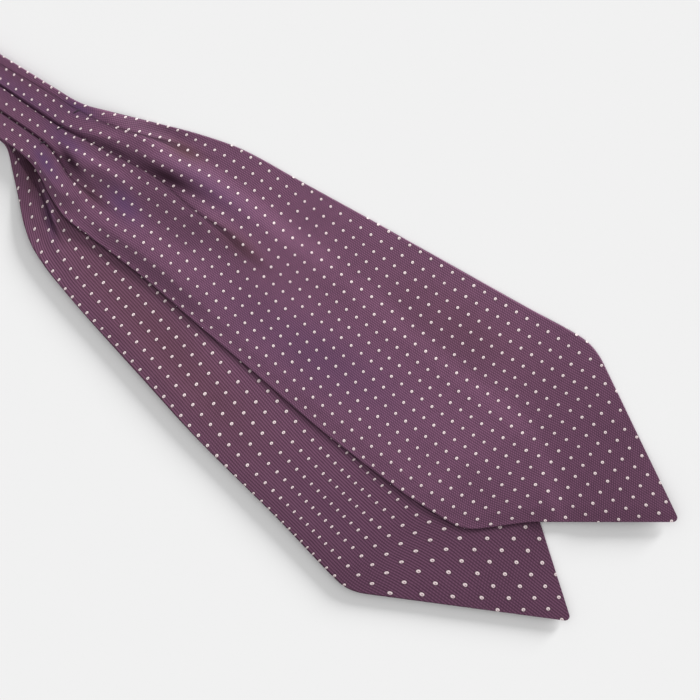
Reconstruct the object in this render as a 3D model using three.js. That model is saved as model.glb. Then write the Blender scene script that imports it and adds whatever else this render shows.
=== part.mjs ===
// A silk day cravat laid flat and folded in half at the middle of its neckband.
// The band is pleated lengthways, and at each end the pleats open into a wide pointed blade.
// Millimetres, +Z up. While the cloth is worked out, x runs from the upper blade's pleat tacks
// towards the points and y is measured from the middle of the neckband.
import * as THREE from 'three';

// Cloth
const WALL = 1.0;                 // silk with its own silk back, one layer of the cravat
const LAYER_GAP = 0.2;            // air between the layers inside a pleat
const SEAM_GAP = 0.3;             // between pieces that are sewn together
const LAYER_PITCH = WALL + LAYER_GAP;
const BEND_LENGTH = Math.PI * LAYER_PITCH / 2;   // cloth taken up by one half-turn of a pleat
const SHORTEST_RETURN = 0.3;      // straight cloth between the two bends of a pleat
const SOFT_RETURN = 2.0;          // its length once the pleat has opened into a soft step
const FOLDED = 180;               // turn of a pleat that lies flat on itself, degrees
const LEAST_TURN = 1e-6;          // stands for a pleat that has gone, radians
const PLEATED_HEIGHT = 2 * LAYER_PITCH + WALL;

// Neckband
const BAND_HALF_WIDTH = 23.9;
const UPPER_BAND_LENGTH = 161;    // from the upper tacks to the fold at the centre back
const UPPER_SEAM = -20;           // where the upper blade is joined to its band
const UNDER_SEAM = -40;           // the same on the under blade, from its own tacks
const CENTRE_BACK_GAP = 0.6;      // between the two halves of the band, one on the other
const FOLD_AXIS = PLEATED_HEIGHT + CENTRE_BACK_GAP / 2;   // its height
const FOLD_X = -UPPER_BAND_LENGTH + PLEATED_HEIGHT;        // where the turn over it begins

// Under blade: it leaves the band a little sooner and fans out to one side
const FAN_TURN = -9.8;            // degrees
const FAN_X = -30.7;              // where its middle line turns
const FAN_AT = -14;               // the same place, measured from its own tacks
const FAN_SPREAD = 18;            // the turn is eased over this much on each side

// How the upper blade comes down from the under blade to the surface
const REST_ON_PLEATS = PLEATED_HEIGHT + CENTRE_BACK_GAP;
const REST_ON_CLOTH = 1.35;
const PLEATS_END = { from: 90, to: 190 };
const DROP_START = 7;             // past the under blade's edge
const DROP_RUN = 18;
const EDGE_DROP = { from: -10, to: 15 };

const SILK = { color: 0x6c4b5f, roughness: 0.42, metalness: 0 };
const SILK_UNDER = { color: 0x624253, roughness: 0.45, metalness: 0 };

// Long edges of each blade: near is the -y edge and far the +y edge, at a distance from the tacks
const UPPER_SIDES = [
  { at: -60, near: -BAND_HALF_WIDTH, far: BAND_HALF_WIDTH },
  { at: -34, near: -BAND_HALF_WIDTH, far: 24.4 },
  { at: -14, near: -BAND_HALF_WIDTH, far: 24.9 },
  { at: 0, near: -26.4, far: 25.3 },
  { at: 10, near: -31.0, far: 27.0 },
  { at: 20, near: -36.7, far: 30.3 },
  { at: 37, near: -44.0, far: 36.2 },
  { at: 57, near: -45.9, far: 43.2 },
  { at: 80, near: -47.4, far: 50.9 },
  { at: 107, near: -49.8, far: 57.9 },
  { at: 126, near: -52.3, far: 60.3 },
  { at: 150, near: -55.9, far: 61.8 },
  { at: 209, near: -63.5, far: 66.1 },
  { at: 240, near: -68.0, far: 68.1 },
  { at: 264, near: -70.8, far: 69.7 },
  { at: 300, near: -73.7, far: 72.0 },
  { at: 330, near: -75.6, far: 74.0 },
  { at: 372, near: -75.3, far: 77.0 },
];
const UNDER_SIDES = [
  { at: -12, near: -BAND_HALF_WIDTH, far: BAND_HALF_WIDTH },
  { at: 0, near: -24.4, far: BAND_HALF_WIDTH },
  { at: 14, near: -33.4, far: 24.6 },
  { at: 30, near: -44.4, far: 27.0 },
  { at: 43, near: -53.6, far: 29.0 },
  { at: 57, near: -60.9, far: 31.4 },
  { at: 73, near: -65.3, far: 33.8 },
  { at: 88, near: -67.7, far: 36.0 },
  { at: 118, near: -71.2, far: 39.5 },
  { at: 172, near: -76.0, far: 45.5 },
  { at: 227, near: -80.7, far: 50.0 },
  { at: 300, near: -83.2, far: 53.0 },
  { at: 368, near: -86.8, far: 57.5 },
];

// Pointed ends: the sharp point, how fast each side closes on it, how far the near side bulges
// by its corner, and the roundings
const UPPER_POINT = { at: 494, y: 9.0, nearSlope: 0.65, farSlope: 0.61, nearBulge: 6.3 };
const UNDER_POINT = { at: 493.5, y: 0.0, nearSlope: 0.705, farSlope: 0.57, nearBulge: 0 };
const BULGE = { from: 79, to: 119 };    // distance from the point
const CORNER_ROUNDING = 7;
const POINT_RADIUS = 3;

// Knife pleats, the one next to the near edge first. edge is the folded edge that shows,
// lap is how far it covers the next strip, and turn falls from 180 as the pleat opens out.
const UPPER_PLEATS = [
  [
    { at: -60, edge: -9.0, lap: 7.2, turn: FOLDED },
    { at: -8, edge: -10.0, lap: 7.2, turn: FOLDED },
    { at: 4, edge: -11.6, lap: 6.8, turn: FOLDED },
    { at: 13, edge: -14.8, lap: 5.4, turn: FOLDED },
    { at: 26, edge: -20.5, lap: 2.6, turn: FOLDED },
    { at: 36, edge: -22.0, lap: 1.5, turn: 150 },
    { at: 50, edge: -22.8, lap: 1.5, turn: 65 },
    { at: 70, edge: -23.6, lap: 1.5, turn: 25 },
    { at: 100, edge: -25.0, lap: 1.5, turn: 0 },
  ],
  [
    { at: -60, edge: 5.7, lap: 7.2, turn: FOLDED },
    { at: 0, edge: 4.2, lap: 7.2, turn: FOLDED },
    { at: 22, edge: 6.4, lap: 7.0, turn: FOLDED },
    { at: 45, edge: 8.5, lap: 6.4, turn: FOLDED },
    { at: 69, edge: 10.6, lap: 5.2, turn: FOLDED },
    { at: 84, edge: 9.8, lap: 4.2, turn: FOLDED },
    { at: 100, edge: 7.2, lap: 2.6, turn: FOLDED },
    { at: 115, edge: 5.9, lap: 1.5, turn: 150 },
    { at: 134, edge: 5.4, lap: 1.5, turn: 75 },
    { at: 150, edge: 2.4, lap: 1.5, turn: 42 },
    { at: 172, edge: -1.0, lap: 1.5, turn: 20 },
    { at: 215, edge: -5.0, lap: 1.5, turn: 0 },
  ],
  [
    { at: -60, edge: 17.5, lap: 7.0, turn: FOLDED },
    { at: -24, edge: 19.4, lap: 7.0, turn: FOLDED },
    { at: 0, edge: 20.0, lap: 7.0, turn: FOLDED },
    { at: 20, edge: 21.8, lap: 5.0, turn: FOLDED },
    { at: 40, edge: 26.5, lap: 2.8, turn: FOLDED },
    { at: 54, edge: 31.0, lap: 1.5, turn: 150 },
    { at: 70, edge: 35.4, lap: 1.5, turn: 75 },
    { at: 88, edge: 39.0, lap: 1.5, turn: 30 },
    { at: 120, edge: 43.0, lap: 1.5, turn: 0 },
  ],
];
// On the under blade the same pleats lie the other way up, so their edges face the near side
const UNDER_PLEATS = [
  [
    { at: -60, edge: -17.5, lap: 8.5, turn: FOLDED },
    { at: -10, edge: -19.0, lap: 8.5, turn: FOLDED },
    { at: 10, edge: -24.3, lap: 7.0, turn: FOLDED },
    { at: 25, edge: -27.6, lap: 4.8, turn: FOLDED },
    { at: 40, edge: -32.0, lap: 2.6, turn: FOLDED },
    { at: 52, edge: -38.0, lap: 1.5, turn: 150 },
    { at: 65, edge: -45.4, lap: 1.5, turn: 75 },
    { at: 82, edge: -51.0, lap: 1.5, turn: 30 },
    { at: 115, edge: -54.0, lap: 1.5, turn: 0 },
  ],
  [
    { at: -60, edge: -3.3, lap: 9.0, turn: FOLDED },
    { at: 0, edge: -3.6, lap: 8.4, turn: FOLDED },
    { at: 30, edge: -5.0, lap: 6.0, turn: FOLDED },
    { at: 57, edge: -8.4, lap: 3.5, turn: FOLDED },
    { at: 80, edge: -12.0, lap: 1.5, turn: 150 },
    { at: 97, edge: -14.0, lap: 1.5, turn: 75 },
    { at: 115, edge: -15.5, lap: 1.5, turn: 30 },
    { at: 145, edge: -16.0, lap: 1.5, turn: 0 },
  ],
  [
    { at: -60, edge: 10.5, lap: 7.0, turn: FOLDED },
    { at: 0, edge: 10.5, lap: 6.6, turn: FOLDED },
    { at: 30, edge: 11.5, lap: 4.0, turn: FOLDED },
    { at: 50, edge: 12.6, lap: 1.8, turn: FOLDED },
    { at: 66, edge: 13.4, lap: 1.5, turn: 110 },
    { at: 82, edge: 14.2, lap: 1.5, turn: 45 },
    { at: 110, edge: 15.0, lap: 1.5, turn: 0 },
  ],
];

// Where the cloth is cut into sections, closer together where its shape changes
const UPPER_STATIONS = [-8, 2, 12, 22, 32, 43, 55, 69, 84, 99, 114, 130, 148, 172, 205, 250, 310, 350,
  366, 376, 386, 394, 403, 413, 426, 450, 472, 484];
const UNDER_STATIONS = [-26, -14, -2, 9, 20, 31, 42, 53, 65, 80, 96, 115, 145, 190, 250, 310, 346,
  362, 372, 382, 391, 402, 425, 450, 472, 484];
const UPPER_BAND_STATIONS = [UPPER_SEAM - SEAM_GAP / 2, -60, FOLD_X];
const LOWER_BAND_STATIONS = [UNDER_SEAM - SEAM_GAP / 2, FOLD_X - FAN_X + FAN_AT];
const NOSE_STEPS = [0, 0.4, 0.7, 0.88];
const EVEN_OUT = { from: 215, to: 310 };   // past the pleats, sections take even steps across
const BEND_STEPS = 3;
const STRIP_STEPS = 4;
const CENTRE_BACK_STEPS = 5;
const FOLD_CLEARANCE = 1.0;       // from a folded edge to where the strip under it starts to rise
const LEAST_STEP = 0.4;           // between two places across a strip
const EDGE_MARGIN = 1.0;          // flat cloth at each long edge

function ease(t) {
  const c = Math.min(Math.max(t, 0), 1);
  return c * c * (3 - 2 * c);
}

// Smooth curve through one column of a table, level beyond its first and last rows
function readColumn(table, column, at) {
  const last = table.length - 1;
  if (at <= table[0].at) return table[0][column];
  if (at >= table[last].at) return table[last][column];
  let i = 0;
  while (at > table[i + 1].at) i += 1;
  const slopeBetween = (a, b) => (table[b][column] - table[a][column]) / (table[b].at - table[a].at);
  const step = table[i + 1].at - table[i].at;
  const t = (at - table[i].at) / step;
  const slopeHere = i > 0 ? slopeBetween(i - 1, i + 1) : 0;
  const slopeNext = i + 1 < last ? slopeBetween(i, i + 2) : 0;
  const rise = table[i + 1][column] - table[i][column];
  const bend = (1 - t) * slopeHere * step - t * slopeNext * step + (2 * t - 1) * rise;
  return table[i][column] + t * rise + t * (1 - t) * bend;
}

// Lesser of two values with their meeting rounded off
function softLesser(a, b, rounding) {
  const closeness = Math.max(rounding - Math.abs(a - b), 0) / rounding;
  return Math.min(a, b) - closeness * closeness * rounding / 4;
}

// The y of both edges of a blade at a distance from its tacks, point and rounded nose included
function bladeEdges(sides, point, at) {
  const left = point.at - at;
  const far = softLesser(readColumn(sides, 'far', at), point.y + left * point.farSlope,
    CORNER_ROUNDING);
  const bulge = point.nearBulge * ease((left - BULGE.from) / (BULGE.to - BULGE.from));
  const near = -softLesser(-readColumn(sides, 'near', at), left * point.nearSlope - point.y + bulge,
    CORNER_ROUNDING);
  return { near, far };
}

// Stations that round off the point, each a circle's chord
function noseRows(sides, point) {
  const halfAngle = Math.atan((point.nearSlope + point.farSlope) / 2);
  const centre = point.at - POINT_RADIUS / Math.sin(halfAngle);
  const start = centre + POINT_RADIUS * Math.sin(halfAngle);
  const end = centre + POINT_RADIUS;
  const middle = (bladeEdges(sides, point, start).near + bladeEdges(sides, point, start).far) / 2;
  return NOSE_STEPS.map((step) => {
    const at = start + (end - start) * step;
    const half = Math.sqrt(POINT_RADIUS ** 2 - (at - centre) ** 2);
    return { at, near: middle - half, far: middle + half };
  });
}

// One pleat as a line of [y, z]: a bend, a return and a bend back, dropping as y grows
function pleatLine(edge, lap, turn, down) {
  const angle = Math.max(THREE.MathUtils.degToRad(turn), LEAST_TURN);
  const radius = BEND_LENGTH / angle;
  const opened = Math.max(0, 1 - turn / 90);
  const back = Math.max(lap - LAYER_PITCH, SHORTEST_RETURN) + SOFT_RETURN * opened;
  const width = 2 * radius * Math.sin(angle) + back * Math.cos(angle);
  const startY = turn >= 90 ? edge - radius : edge - width / 2;
  const line = [];
  for (let i = 0; i <= BEND_STEPS; i += 1) {
    const a = angle * i / BEND_STEPS;
    line.push([startY + radius * Math.sin(a), -down * radius * (1 - Math.cos(a))]);
  }
  const [turnY, turnZ] = line[BEND_STEPS];
  const backY = turnY + back * Math.cos(angle);
  const backZ = turnZ - down * back * Math.sin(angle);
  for (let i = 0; i <= BEND_STEPS; i += 1) {
    const a = angle * (1 - i / BEND_STEPS);
    line.push([
      backY + radius * (Math.sin(angle) - Math.sin(a)),
      backZ - down * radius * (Math.cos(a) - Math.cos(angle)),
    ]);
  }
  return line;
}

// Middle line of the cloth across one station, from the near edge to the far edge.
// On the upper blade each strip lies over the next one; turned over, each lies under it.
function clothLine(sides, at, pleats, turnedOver) {
  const near = readColumn(sides, 'near', at);
  const far = readColumn(sides, 'far', at);
  const edgeDrop = ease((at - EDGE_DROP.from) / (EDGE_DROP.to - EDGE_DROP.from));
  const folds = pleats.map((row) => {
    const turn = Math.min(row.turn, FOLDED);
    const edge = turnedOver ? row.edge + row.lap * turn / FOLDED : row.edge;
    const line = pleatLine(edge, row.lap, turn, turnedOver ? -1 : 1);
    const rise = Math.abs(line[line.length - 1][1]);
    const lift = turnedOver ? 0 : rise;
    const placed = line.map(([y, z]) => [y, z + lift]);
    const ys = placed.map(([y]) => y);
    return { line: placed, rise, least: Math.min(...ys), most: Math.max(...ys) };
  });
  const points = [];
  const strip = (fromY, fromZ, flatTo, slopeTo, toY, toZ, ends) => {
    const low = Math.max(flatTo, fromY + LEAST_STEP);
    const high = Math.max(Math.min(slopeTo, toY - LEAST_STEP), low + LEAST_STEP);
    for (let i = 0; i < STRIP_STEPS; i += 1) {
      const t = i / (STRIP_STEPS - 1);
      points.push([low + (high - low) * t, fromZ + (toZ - fromZ) * ease(t)]);
    }
    if (ends) points.push([toY, toZ]);
  };
  const first = folds[0];
  const firstZ = turnedOver ? 0 : first.rise * (1 - edgeDrop);
  const firstHigh = turnedOver ? 0 : first.rise;
  points.push([near, firstZ]);
  strip(near, firstZ, near + EDGE_MARGIN, first.least, first.line[0][0], firstHigh, false);
  folds.forEach((fold, i) => {
    points.push(...fold.line);
    const [endY, endZ] = fold.line[fold.line.length - 1];
    const next = folds[i + 1];
    if (next) {
      const nextZ = turnedOver ? 0 : next.rise;
      strip(endY, endZ, fold.most + FOLD_CLEARANCE, next.least - (turnedOver ? FOLD_CLEARANCE : 0),
        next.line[0][0], nextZ, false);
    } else {
      const lastZ = turnedOver ? fold.rise * (1 - edgeDrop) : 0;
      strip(endY, endZ, fold.most + (turnedOver ? 0 : FOLD_CLEARANCE), far - EDGE_MARGIN, far,
        lastZ, true);
    }
  });
  return points;
}

// Draws a full-width section in between the edges of the pointed end, and past the pleats
// spreads its places evenly from edge to edge
function fitBetween(line, sides, edges, at) {
  const nearSide = readColumn(sides, 'near', at);
  const farSide = readColumn(sides, 'far', at);
  const evenness = ease((at - EVEN_OUT.from) / (EVEN_OUT.to - EVEN_OUT.from));
  return line.map(([y, z], j) => {
    const share = (y - nearSide) / (farSide - nearSide);
    const evenShare = j / (line.length - 1);
    const t = THREE.MathUtils.lerp(share, evenShare, evenness);
    return [THREE.MathUtils.lerp(edges.near, edges.far, t), z];
  });
}

// Both faces of the cloth: the middle line moved half a wall to each side
function clothFaces(line) {
  const half = WALL / 2;
  return line.map(([y, z], i) => {
    const before = line[Math.max(i - 1, 0)];
    const after = line[Math.min(i + 1, line.length - 1)];
    const inDir = new THREE.Vector2(y - before[0], z - before[1]).normalize();
    const outDir = new THREE.Vector2(after[0] - y, after[1] - z).normalize();
    const along = inDir.add(outDir).normalize();
    return {
      top: [y - along.y * half, z + along.x * half + half],
      bottom: [y + along.y * half, z - along.x * half + half],
    };
  });
}

// Closed body through a run of stations, each a list of { top, bottom } places
function closedCloth(stations) {
  const across = stations[0].length;
  const positions = [];
  stations.forEach((row) => row.forEach(({ top, bottom }) => positions.push(...top, ...bottom)));
  const index = [];
  const quad = (a, b, c, d) => index.push(a, b, c, a, c, d);
  const top = (i, j) => 2 * (i * across + j);
  const bottom = (i, j) => top(i, j) + 1;
  const lastI = stations.length - 1;
  const lastJ = across - 1;
  for (let i = 0; i < lastI; i += 1) {
    for (let j = 0; j < lastJ; j += 1) {
      quad(top(i, j), top(i + 1, j), top(i + 1, j + 1), top(i, j + 1));
      quad(bottom(i, j), bottom(i, j + 1), bottom(i + 1, j + 1), bottom(i + 1, j));
    }
    quad(top(i, 0), bottom(i, 0), bottom(i + 1, 0), top(i + 1, 0));
    quad(top(i, lastJ), top(i + 1, lastJ), bottom(i + 1, lastJ), bottom(i, lastJ));
  }
  for (let j = 0; j < lastJ; j += 1) {
    quad(top(0, j), top(0, j + 1), bottom(0, j + 1), bottom(0, j));
    quad(top(lastI, j), bottom(lastI, j), bottom(lastI, j + 1), top(lastI, j + 1));
  }
  const geometry = new THREE.BufferGeometry();
  geometry.setAttribute('position', new THREE.Float32BufferAttribute(positions, 3));
  geometry.setIndex(index);
  geometry.computeVertexNormals();
  return geometry;
}

// Middle line of the under blade: straight along the band, then eased round by the fan turn
function underAxis(at) {
  const step = 1;
  const heading = (s) => THREE.MathUtils.degToRad(FAN_TURN)
    * ease((s - FAN_AT + FAN_SPREAD) / (2 * FAN_SPREAD));
  let x = FAN_X + Math.min(at - FAN_AT, -FAN_SPREAD);
  let y = 0;
  for (let s = FAN_AT - FAN_SPREAD; s < at; s += step) {
    const length = Math.min(step, at - s);
    const way = heading(s + length / 2);
    x += Math.cos(way) * length;
    y += Math.sin(way) * length;
  }
  return { x, y, way: heading(at) };
}

// How high the upper blade's lower face lies over a place: on the under blade, or on the surface
function restHeight(x, y) {
  const fan = THREE.MathUtils.degToRad(FAN_TURN);
  const s = FAN_AT + (x - FAN_X) * Math.cos(fan) + y * Math.sin(fan);
  const across = y * Math.cos(fan) - (x - FAN_X) * Math.sin(fan);
  const bandOrBlade = s < FAN_AT ? y : across;
  const beyond = bandOrBlade - bladeEdges(UNDER_SIDES, UNDER_POINT, s).far - DROP_START;
  const pleatsGone = ease((x - PLEATS_END.from) / (PLEATS_END.to - PLEATS_END.from));
  const height = THREE.MathUtils.lerp(REST_ON_PLEATS, REST_ON_CLOTH, pleatsGone);
  return height * (1 - ease(beyond / DROP_RUN));
}

function readPleats(tables, at) {
  return tables.map((table) => ({
    edge: readColumn(table, 'edge', at),
    lap: readColumn(table, 'lap', at),
    turn: readColumn(table, 'turn', at),
  }));
}

// One station of the upper blade or of the straight band that runs into it
function upperRow(at, edges) {
  const line = clothLine(UPPER_SIDES, at, readPleats(UPPER_PLEATS, at), false);
  const faces = clothFaces(fitBetween(line, UPPER_SIDES, edges, at));
  const place = ([y, z]) => [at, y, z + restHeight(at, y)];
  return faces.map(({ top, bottom }) => ({ top: place(top), bottom: place(bottom) }));
}

function underRow(at, edges) {
  const line = clothLine(UNDER_SIDES, at, readPleats(UNDER_PLEATS, at), true);
  const faces = clothFaces(fitBetween(line, UNDER_SIDES, edges, at));
  const axis = underAxis(at);
  const place = ([y, z]) => [axis.x - y * Math.sin(axis.way), axis.y + y * Math.cos(axis.way), z];
  return faces.map(({ top, bottom }) => ({ top: place(top), bottom: place(bottom) }));
}

// A whole blade: its seam, its stations and its rounded nose
function bladeRows(seam, stations, sides, point, row) {
  const plain = [seam + SEAM_GAP / 2, ...stations].map((at) => ({
    at, ...bladeEdges(sides, point, at),
  }));
  return [...plain, ...noseRows(sides, point)].map((edges) => row(edges.at, edges));
}

// A half of the neckband, from its blade's seam to the centre back, where it turns through 90
// degrees about the fold's axis to meet the other half edge to edge
function bandRows(stations, sides, point, row, side) {
  const axisZ = FOLD_AXIS + side * SEAM_GAP / 2;
  const rows = stations.map((at) => row(at, bladeEdges(sides, point, at)));
  const straight = rows[rows.length - 1];
  for (let i = 1; i <= CENTRE_BACK_STEPS; i += 1) {
    const angle = Math.PI / 2 * i / CENTRE_BACK_STEPS;
    const place = ([, y, z]) => {
      const radius = Math.abs(z - axisZ);
      return [FOLD_X - radius * Math.sin(angle), y, axisZ + side * radius * Math.cos(angle)];
    };
    rows.push(straight.map(({ top, bottom }) => ({ top: place(top), bottom: place(bottom) })));
  }
  return rows.reverse();
}

function clothPiece(name, rows, finish) {
  const mesh = new THREE.Mesh(closedCloth(rows), new THREE.MeshStandardMaterial(finish));
  mesh.name = name;
  return mesh;
}

const cravat = new THREE.Group();
cravat.add(
  clothPiece('upper_blade',
    bladeRows(UPPER_SEAM, UPPER_STATIONS, UPPER_SIDES, UPPER_POINT, upperRow), SILK),
  clothPiece('upper_neckband',
    bandRows(UPPER_BAND_STATIONS, UPPER_SIDES, UPPER_POINT, upperRow, 1), SILK),
  clothPiece('lower_neckband',
    bandRows(LOWER_BAND_STATIONS, UNDER_SIDES, UNDER_POINT, underRow, -1), SILK_UNDER),
  clothPiece('under_blade',
    bladeRows(UNDER_SEAM, UNDER_STATIONS, UNDER_SIDES, UNDER_POINT, underRow), SILK_UNDER),
);

// The origin is under the middle of the laid cravat, on the surface that it lies on
const bounds = new THREE.Box3().setFromObject(cravat);
const middle = bounds.getCenter(new THREE.Vector3());
cravat.position.set(-middle.x, -middle.y, -bounds.min.z);

export default cravat;
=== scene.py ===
import math
from collections import namedtuple

import bmesh
import bpy
from bpy.props import FloatProperty, FloatVectorProperty, PointerProperty
from mathutils import Matrix, Vector, noise


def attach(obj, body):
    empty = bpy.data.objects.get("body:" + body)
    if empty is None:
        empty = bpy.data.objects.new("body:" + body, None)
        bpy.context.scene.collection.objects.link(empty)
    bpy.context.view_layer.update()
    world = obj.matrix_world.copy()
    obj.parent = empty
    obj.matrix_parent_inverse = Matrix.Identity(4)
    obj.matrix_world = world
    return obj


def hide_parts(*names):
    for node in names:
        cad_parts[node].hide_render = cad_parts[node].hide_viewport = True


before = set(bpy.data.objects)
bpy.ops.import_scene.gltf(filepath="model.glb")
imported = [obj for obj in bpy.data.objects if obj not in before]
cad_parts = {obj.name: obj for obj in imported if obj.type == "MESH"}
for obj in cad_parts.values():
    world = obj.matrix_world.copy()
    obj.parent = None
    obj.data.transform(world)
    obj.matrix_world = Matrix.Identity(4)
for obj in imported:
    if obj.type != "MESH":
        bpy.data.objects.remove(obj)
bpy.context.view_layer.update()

bl_info = {
    "name": "Silk day cravat",
    "version": (1, 0, 0),
    "blender": (4, 5, 0),
    "location": "3D View > Sidebar > Cravat",
    "description": "Builds a pleated silk day cravat, folded in half and laid flat",
    "category": "Object",
}

MM = 0.001

# From the sizes' own zero to the part's frame, in millimetres
CLOTH_TO_PART = Vector((-165.03, 36.28, 0.0))

# The solids' own sizes in millimetres. x runs from the upper blade's pleat tacks towards the
# points, and y from the middle of the neckband.
WALL = 1.0
LAYER_PITCH = 1.2                  # from one folded layer to the next
BEND_LENGTH = math.pi * LAYER_PITCH / 2
SHORTEST_RETURN = 0.3              # flat cloth between a pleat's two bends
SOFT_RETURN = 2.0                  # what it gains as the pleat opens
FOLDED = 180.0
LEAST_TURN = 1e-6
PLEATED_HEIGHT = 2 * LAYER_PITCH + WALL

# The folded neckband and the fold at its centre back
BAND_HALF_WIDTH = 23.9
UPPER_BAND_LENGTH = 161.0
CENTRE_BACK_GAP = 0.6
SEAM_GAP = 0.3
FOLD_AXIS = PLEATED_HEIGHT + CENTRE_BACK_GAP / 2
FOLD_X = -UPPER_BAND_LENGTH + PLEATED_HEIGHT

# The under half fans out about a place on its own middle line, over a stretch to each side of it
FAN_TURN = math.radians(-9.8)
FAN_X = -30.7
FAN_AT = -14.0
FAN_SPREAD = 18.0

# Heights that the upper blade rests at, where the first gives way to the second, and how it comes
# down past the under blade's far edge
REST_ON_PLEATS = PLEATED_HEIGHT + CENTRE_BACK_GAP
REST_ON_CLOTH = 1.35
PLEATS_END = (90.0, 190.0)
DROP_BEYOND = (7.0, 25.0)

# The blades' edges: where the outermost pleat's step comes down to the edge, the swell before the
# upper point, and the rounding of corners and points
EDGE_DROP = (-10.0, 15.0)
BULGE = (79.0, 119.0)
CORNER_ROUNDING = 7.0
POINT_RADIUS = 3.0

# How places are shared out across a row. They even out past the pleats.
EVEN_OUT = (215.0, 310.0)
FOLD_CLEARANCE = 1.0
LEAST_STEP = 0.4
EDGE_MARGIN = 1.0

# In the band each strip is pressed flat a short way past the fold over it
PRESSED_BAND = 4.0
PRESSED_TO = (-5.0, 45.0)
FLAT_BETWEEN = (45.0, 160.0)       # turns of a pleat between which its step sinks away

# How the step of an opening pleat is softened, below this turn and within this reach of its edge
SLACK_FROM = 150.0
SLACK_REACH = 8.0
SLACK_SPREAD = 4.5

# Painted shade: the thin dark line where a strip goes in under the fold over it
FOLD_LINE = 1.1
FOLD_LINE_TURN = 110.0
FOLD_SHADE = 0.8
FOLD_RIM = 2                       # places over which the line darkens into an upper fold

# The under blade's near side stands a little off the surface, as laid silk does, and so does the
# upper blade's point. Each rises over its own stretch along the blade.
LOFT_HEIGHT = 3.0
LOFT_WIDTH = 80.0
LOFT_RISE = (5.0, 50.0)
TIP_LOFT = 4.5
TIP_LOFT_RISE = (400.0, 455.0)

# The upper blade's near edge hangs from its bedding down to the first height near the tacks and
# to the second one further along
DROOP_TO = (1.9, 1.05)
DROOP_CHANGE = (90.0, 180.0)
DROOP_RISE = (32.0, 67.0)
DROOP_WIDTH = 13.0

# What keeps the upper blade clear of the cloth under it, down to none at its near edge
BEDDING = 0.3
BEDDING_CHANGE = (60.0, 120.0)

# Waves and creases: where they start, how far in from the upper blade's edges they are full, how
# much is left at its edges, how deep a trough may go, and where the under blade's go out of sight
UPPER_WAVES_RISE = (20.0, 100.0)
UNDER_WAVES_RISE = (10.0, 60.0)
CREASES_RISE = (-10.0, 15.0)
EDGE_STRETCH = (-1.0, 13.0)
LEFT_AT_EDGE = 0.15
DEEPEST_TROUGH = -0.3
UNDER_SHOWN = (6.0, 32.0)

# A crease fades in and out over shares of its length, from a little outside its two ends
CREASE_OUTSIDE = 0.15
CREASE_IN = 0.45
CREASE_OUT = 0.5
CREASE_LEAN = 0.45

# How much painted shade lies on the cloth: near the neckband, towards the points, a little all over
# the under blade, and as a painted shadow on the under blade where it goes in under the upper one
NECK_SHADE = 0.06
NECK_SHADE_ENDS = (10.0, 80.0)
POINT_SHADE = 0.24
POINT_SHADE_RISE = (330.0, 405.0)
TIP_SHADE = 0.14
TIP_SHADE_RISE = (390.0, 470.0)
UNDER_SHADE = 0.16
UNDER_POINT_SHADE = 0.34
UNDER_SHADE_RISE = (180.0, 410.0)
CONTACT_SHADE = 0.85
CONTACT_LINE = 1.3
CONTACT_FROM = -5.0

# How finely the shown cloth is divided
BEND_STEPS = 5
STRIP_STEPS = 22
ROW_STEP = 2.1
CENTRE_BACK_STEPS = 8
NOSE_STEPS = (0.0, 0.3, 0.55, 0.75, 0.9, 0.97)

Side = namedtuple("Side", "at near far")
Point = namedtuple("Point", "at y near_slope far_slope near_bulge")
Pleat = namedtuple("Pleat", "at edge lap turn")
Crease = namedtuple("Crease", "from_x from_y to_x to_y width height lean")
Tint = namedtuple("Tint", "x y along across slope amount")
Repeat = namedtuple("Repeat", "at along across turn lean")
Wave = namedtuple("Wave", "along across seed height")
Tack = namedtuple("Tack", "x y z way length")
Fold = namedtuple("Fold", "line rise least most edge strength slack")
Spot = namedtuple("Spot", "place at across y crease")

UPPER_SIDES = (
    Side(-60, -BAND_HALF_WIDTH, BAND_HALF_WIDTH),
    Side(-34, -BAND_HALF_WIDTH, 24.4),
    Side(-14, -BAND_HALF_WIDTH, 24.9),
    Side(0, -26.4, 25.3),
    Side(10, -31.0, 27.0),
    Side(20, -36.7, 30.3),
    Side(37, -44.0, 36.2),
    Side(57, -45.9, 43.2),
    Side(80, -47.4, 50.9),
    Side(107, -49.8, 57.9),
    Side(126, -52.3, 60.3),
    Side(150, -55.9, 61.8),
    Side(209, -63.5, 66.1),
    Side(240, -68.0, 68.1),
    Side(264, -70.8, 69.7),
    Side(300, -73.7, 72.0),
    Side(330, -75.6, 74.0),
    Side(372, -75.3, 77.0),
)
UNDER_SIDES = (
    Side(-12, -BAND_HALF_WIDTH, BAND_HALF_WIDTH),
    Side(0, -24.4, BAND_HALF_WIDTH),
    Side(14, -33.4, 24.6),
    Side(30, -44.4, 27.0),
    Side(43, -53.6, 29.0),
    Side(57, -60.9, 31.4),
    Side(73, -65.3, 33.8),
    Side(88, -67.7, 36.0),
    Side(118, -71.2, 39.5),
    Side(172, -76.0, 45.5),
    Side(227, -80.7, 50.0),
    Side(300, -83.2, 53.0),
    Side(368, -86.8, 57.5),
)
UPPER_POINT = Point(494.0, 9.0, 0.65, 0.61, 6.3)
UNDER_POINT = Point(493.5, 0.0, 0.705, 0.57, 0.0)

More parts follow.
